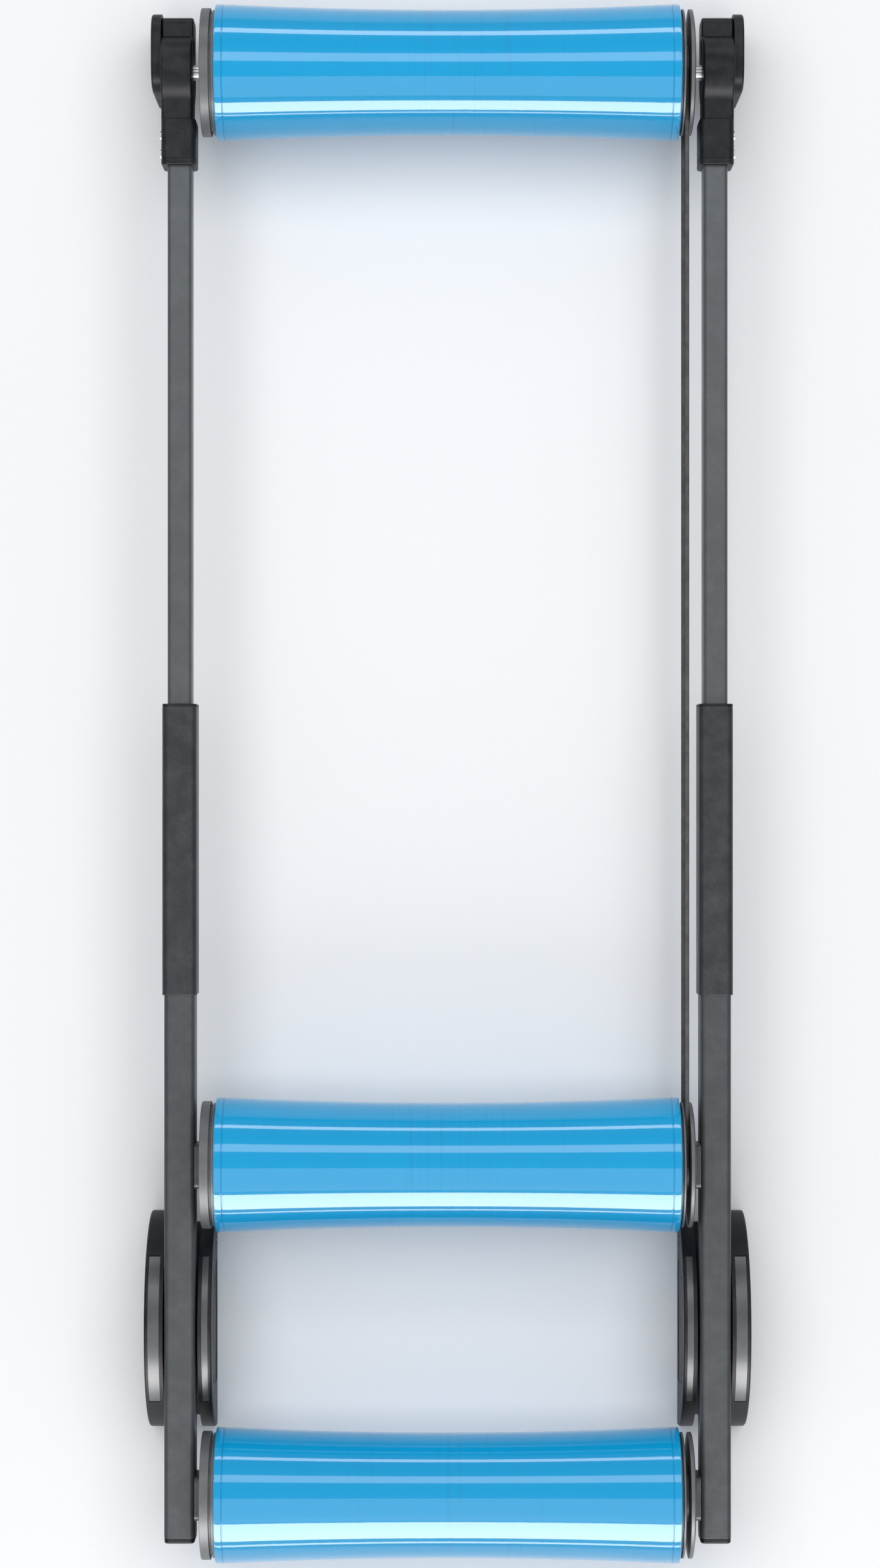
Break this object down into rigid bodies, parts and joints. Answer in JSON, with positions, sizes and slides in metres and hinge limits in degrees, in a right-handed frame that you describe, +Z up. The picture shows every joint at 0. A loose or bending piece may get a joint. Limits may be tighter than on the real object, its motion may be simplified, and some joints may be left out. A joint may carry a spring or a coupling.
{
  "type": "bicycle training rollers",
  "caption": "Floor trainer for a bicycle: waisted drums on a telescopic rail frame, joined by a drive belt, on feet that let the frame swing fore and aft.",
  "frame": {"origin": "on the floor, in the middle of the overall box", "axes": "+Y along the rails to the front drum, +X to the belt side, +Z up"},
  "size_m": [0.554, 1.423, 0.1535],
  "materials": {
    "roller_blue": "smooth glossy blue plastic",
    "cap_grey": "dark grey moulded plastic, satin",
    "black_plastic": "black moulded plastic, fine grain",
    "front_rail_paint": "grey satin powder coat",
    "sleeve_paint": "dark grey satin powder coat",
    "rear_rail_paint": "grey satin powder coat",
    "black_steel": "black coated steel",
    "zinc_steel": "zinc-plated steel",
    "bearing_steel": "ground bearing steel",
    "bush_bronze": "sintered bronze",
    "belt_rubber": "black elastic belt",
    "pad_rubber": "grey-black rubber"
  },
  "bodies": {
    "rear_feet": {"rear_foot_base_left": "black_steel", "rear_foot_base_right": "black_steel", "side_plates_left": "black_steel", "side_plates_right": "black_steel", "outer_cover_left": "black_plastic", "outer_cover_right": "black_plastic", "inner_cover_left": "black_plastic", "inner_cover_right": "black_plastic", "cover_screws": "zinc_steel", "rear_pads": "pad_rubber", "rear_foot_pins": "zinc_steel"},
    "rear_links": {"rear_links": "black_steel", "rear_link_bushes": "bush_bronze"},
    "rear_frame": {"rear_tube_left": "rear_rail_paint", "rear_tube_right": "rear_rail_paint", "rear_tube_caps": "black_plastic", "middle_axle_brackets": "rear_rail_paint", "rear_axle_brackets": "rear_rail_paint", "hanger_left": "rear_rail_paint", "hanger_right": "rear_rail_paint", "rear_swing_pins": "zinc_steel", "middle_axle": "zinc_steel", "rear_axle": "zinc_steel", "middle_inner_races": "bearing_steel", "rear_inner_races": "bearing_steel", "rear_axle_spacers": "zinc_steel", "drive_belt": "belt_rubber"},
    "sleeves": {"sleeve_left": "sleeve_paint", "sleeve_right": "sleeve_paint", "guide_bushes": "black_plastic", "length_lock_screws": "black_steel"},
    "front_frame": {"front_tube_left": "front_rail_paint", "front_tube_right": "front_rail_paint", "tail_glides": "black_plastic", "front_fitting_left": "black_plastic", "front_fitting_right": "black_plastic", "fitting_screws": "zinc_steel", "front_swing_pins": "zinc_steel", "front_axle": "zinc_steel", "front_inner_races": "bearing_steel", "front_axle_spacers": "zinc_steel"},
    "front_links": {"front_links": "black_steel", "front_link_bushes": "bush_bronze"},
    "front_feet": {"front_foot_left": "black_plastic", "front_foot_right": "black_plastic", "front_pads": "pad_rubber", "front_foot_pins": "zinc_steel"},
    "front_roller": {"front_roller_shell": "roller_blue", "front_roller_plain_cap": "cap_grey", "front_roller_pulley_cap": "cap_grey", "front_roller_bearings": "bearing_steel"},
    "middle_roller": {"middle_roller_shell": "roller_blue", "middle_roller_plain_cap": "cap_grey", "middle_roller_pulley_cap": "cap_grey", "middle_roller_bearings": "bearing_steel"},
    "rear_roller": {"rear_roller_shell": "roller_blue", "rear_roller_plain_cap": "cap_grey", "rear_roller_pulley_cap": "cap_grey", "rear_roller_bearings": "bearing_steel"}
  },
  "joints": [
    {"name": "rear_swing", "type": "hinge", "parent": "rear_feet", "child": "rear_links", "pos_m": [0, -0.5, 0.084], "axis": [1, 0, 0], "range_deg": [-15, 15]},
    {"name": "rear_frame_level", "type": "hinge", "parent": "rear_links", "child": "rear_frame", "pos_m": [0, -0.5, 0.024], "axis": [1, 0, 0], "range_deg": [-15, 15]},
    {"name": "sleeve_slide", "type": "slide", "parent": "rear_frame", "child": "sleeves", "axis": [0, 1, 0], "range_m": [-0.125, 0], "deforming": ["drive_belt"]},
    {"name": "front_slide", "type": "slide", "parent": "sleeves", "child": "front_frame", "axis": [0, 1, 0], "range_m": [-0.486, 0.04], "deforming": ["drive_belt"]},
    {"name": "front_link_swing", "type": "hinge", "parent": "front_frame", "child": "front_links", "pos_m": [0, 0.6635, 0.024], "axis": [1, 0, 0], "range_deg": [-15, 15]},
    {"name": "front_foot_level", "type": "hinge", "parent": "front_links", "child": "front_feet", "pos_m": [0, 0.6635, 0.084], "axis": [1, 0, 0], "range_deg": [-15, 15]},
    {"name": "middle_roller_spin", "type": "hinge", "parent": "rear_frame", "child": "middle_roller", "pos_m": [0, -0.348, 0.092], "axis": [1, 0, 0], "continuous": true},
    {"name": "rear_roller_spin", "type": "hinge", "parent": "rear_frame", "child": "rear_roller", "pos_m": [0, -0.65, 0.092], "axis": [1, 0, 0], "continuous": true},
    {"name": "front_roller_spin", "type": "hinge", "parent": "front_frame", "child": "front_roller", "pos_m": [0, 0.65, 0.092], "axis": [1, 0, 0], "continuous": true}
  ],
  "couplings": [
    {"joint": "rear_frame_level", "follows": "rear_swing", "ratio": -1},
    {"joint": "front_link_swing", "follows": "rear_swing", "ratio": 1},
    {"joint": "front_foot_level", "follows": "rear_swing", "ratio": -1},
    {"joint": "front_roller_spin", "follows": "middle_roller_spin", "ratio": 1}
  ]
}
